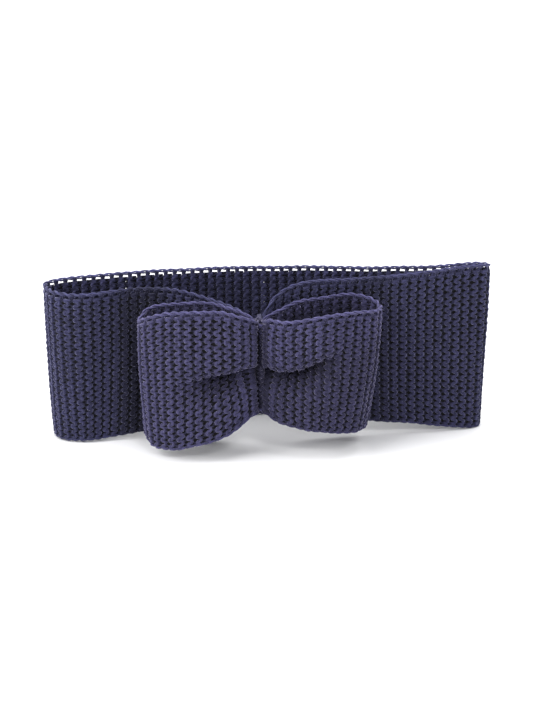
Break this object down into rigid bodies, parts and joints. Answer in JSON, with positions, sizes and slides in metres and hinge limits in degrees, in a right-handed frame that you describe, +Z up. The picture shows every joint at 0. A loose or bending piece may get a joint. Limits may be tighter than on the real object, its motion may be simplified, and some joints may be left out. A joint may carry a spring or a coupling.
{
  "type": "knitted headband with bow",
  "caption": "Wide garter-stitch knitted headband, folded flat into a ring standing on its edge, with a knitted bow cinched by wound yarn at the front.",
  "frame": {"origin": "on the surface that the headband stands on, under the middle of the whole object's box", "axes": "+Z up, along the height of the band; +X to the right along the flattened band, fold to fold; -Y towards the front, where the bow is"},
  "size_m": [0.222, 0.068, 0.0861],
  "materials": {
    "band_knit": "matt wool, garter stitch",
    "bow_knit": "matt wool, garter stitch",
    "yarn": "matt plied wool"
  },
  "bodies": {
    "bow_centre": {"bow_waist": "bow_knit", "centre_wrap": "yarn", "wrap_knot": "yarn", "bow_seam": "yarn", "band_gather": "band_knit"},
    "front_left": {"band_front_left": "band_knit"},
    "back_left": {"band_back_left": "band_knit"},
    "back_middle": {"band_back_middle": "band_knit"},
    "back_right": {"band_back_right": "band_knit"},
    "front_right": {"band_front_right": "band_knit"},
    "front_tuck": {"band_front_tuck": "band_knit", "band_seam": "yarn"},
    "left_loop": {"bow_left_loop": "bow_knit"},
    "right_loop": {"bow_right_loop": "bow_knit"}
  },
  "joints": [
    {"name": "ring_open", "type": "hinge", "parent": "bow_centre", "child": "front_left", "pos_m": [-0.025, -0.002, 0.04], "axis": [0, 0, -1], "range_deg": [-2, 45], "stiffness_Nm_per_rad": 0.004},
    {"name": "left_fold", "type": "hinge", "parent": "front_left", "child": "back_left", "pos_m": [-0.111, 0.014, 0.04], "axis": [0, 0, 1], "range_deg": [-4, 90]},
    {"name": "back_left_bend", "type": "hinge", "parent": "back_left", "child": "back_middle", "pos_m": [-0.025, 0.03, 0.04], "axis": [0, 0, -1], "range_deg": [-2, 45]},
    {"name": "back_right_bend", "type": "hinge", "parent": "back_middle", "child": "back_right", "pos_m": [0.025, 0.03, 0.04], "axis": [0, 0, -1], "range_deg": [-2, 45]},
    {"name": "right_fold", "type": "hinge", "parent": "back_right", "child": "front_right", "pos_m": [0.111, 0.014, 0.04], "axis": [0, 0, 1], "range_deg": [-4, 90]},
    {"name": "front_right_bend", "type": "hinge", "parent": "front_right", "child": "front_tuck", "pos_m": [0.025, -0.002, 0.04], "axis": [0, 0, -1], "range_deg": [-2, 45]},
    {"name": "left_loop_flex", "type": "hinge", "parent": "bow_centre", "child": "left_loop", "pos_m": [-0.0095, -0.0205, 0.042], "axis": [0, 0, 1], "range_deg": [0, 25], "stiffness_Nm_per_rad": 0.003},
    {"name": "right_loop_flex", "type": "hinge", "parent": "bow_centre", "child": "right_loop", "pos_m": [-0.002, -0.0205, 0.042], "axis": [0, 0, -1], "range_deg": [0, 25], "stiffness_Nm_per_rad": 0.003}
  ],
  "couplings": [
    {"joint": "left_fold", "follows": "ring_open", "ratio": 2},
    {"joint": "back_left_bend", "follows": "ring_open", "ratio": 1},
    {"joint": "back_right_bend", "follows": "ring_open", "ratio": 1},
    {"joint": "right_fold", "follows": "ring_open", "ratio": 2},
    {"joint": "front_right_bend", "follows": "ring_open", "ratio": 1}
  ]
}
